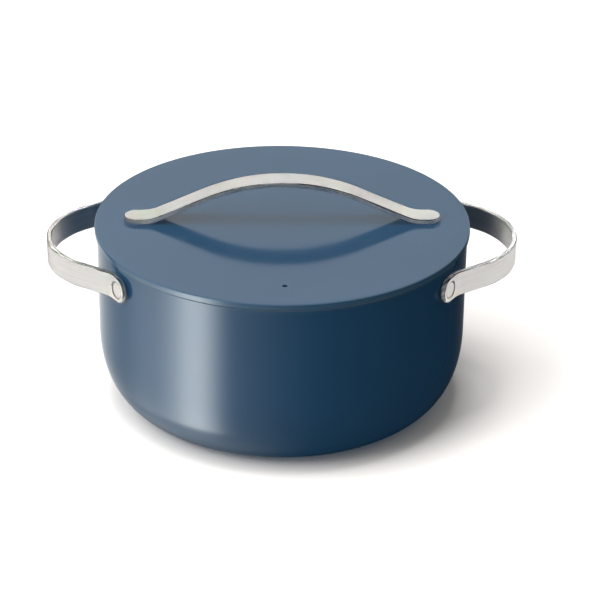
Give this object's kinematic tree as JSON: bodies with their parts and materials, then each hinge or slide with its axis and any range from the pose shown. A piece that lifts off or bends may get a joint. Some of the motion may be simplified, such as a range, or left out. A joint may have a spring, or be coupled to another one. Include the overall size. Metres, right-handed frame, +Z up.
{
  "type": "covered casserole dish",
  "caption": "Round casserole with a rounded base and coated blue wall, riveted steel strap handles, and a flat lift-off lid with an arched strap handle and steam vent.",
  "frame": {"origin": "centre of the base, on the surface that the pot stands on", "axes": "+Z up through the lid, +X from the centre towards the right side handle, and -Y towards the front, where the steam vent is"},
  "size_m": [0.3366, 0.268, 0.167],
  "materials": {
    "coating": "satin",
    "handle_steel": "satin",
    "base_steel": "satin",
    "fixing_steel": "polished"
  },
  "bodies": {
    "pot": {"pot_body": "coating", "base_plate": "base_steel", "side_handle_left": "handle_steel", "side_handle_right": "handle_steel", "rivet_left_front": "fixing_steel", "rivet_left_rear": "fixing_steel", "rivet_right_front": "fixing_steel", "rivet_right_rear": "fixing_steel"},
    "lid": {"lid": "coating", "lid_handle": "handle_steel", "lid_stud_left": "fixing_steel", "lid_stud_right": "fixing_steel", "lid_washer_left": "fixing_steel", "lid_washer_right": "fixing_steel", "lid_cap_nut_left": "fixing_steel", "lid_cap_nut_right": "fixing_steel"}
  },
  "joints": [
    {"name": "lid_lift", "type": "slide", "parent": "pot", "child": "lid", "axis": [0, 0, 1], "range_m": [0, 0.2]}
  ]
}
